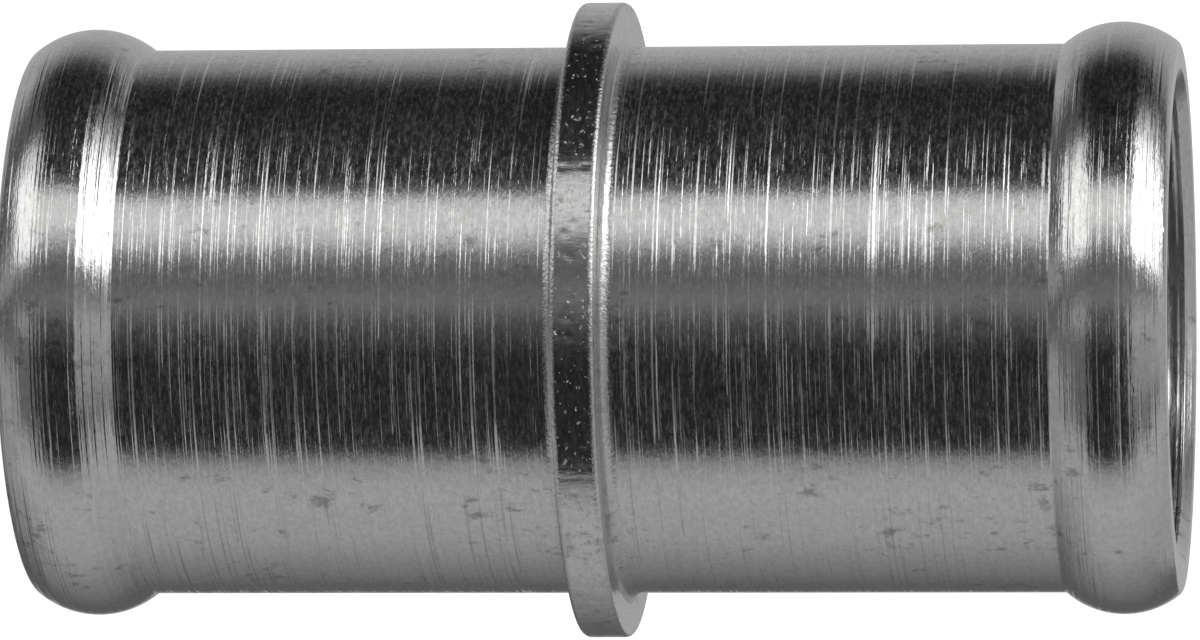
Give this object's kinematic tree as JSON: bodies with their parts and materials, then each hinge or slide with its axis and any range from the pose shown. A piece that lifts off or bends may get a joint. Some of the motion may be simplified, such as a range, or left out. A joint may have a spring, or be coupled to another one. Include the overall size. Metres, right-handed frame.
{
  "type": "hose mender",
  "caption": "Straight one-piece steel hose mender: a bored tube with a rounded bead at each end and a collar in the middle for the hoses to butt against.",
  "frame": {"origin": "on the axis, at the lower open end, which the fitting stands on", "axes": "+Z along the bore, from the end it stands on to the other; the two ends are alike, and X and Y are any pair square to the axis"},
  "size_m": [0.0444, 0.0444, 0.08],
  "materials": {
    "plated_steel": "turned and bright zinc plated"
  },
  "bodies": {
    "root": {"hose_mender_body": "plated_steel"}
  },
  "joints": []
}
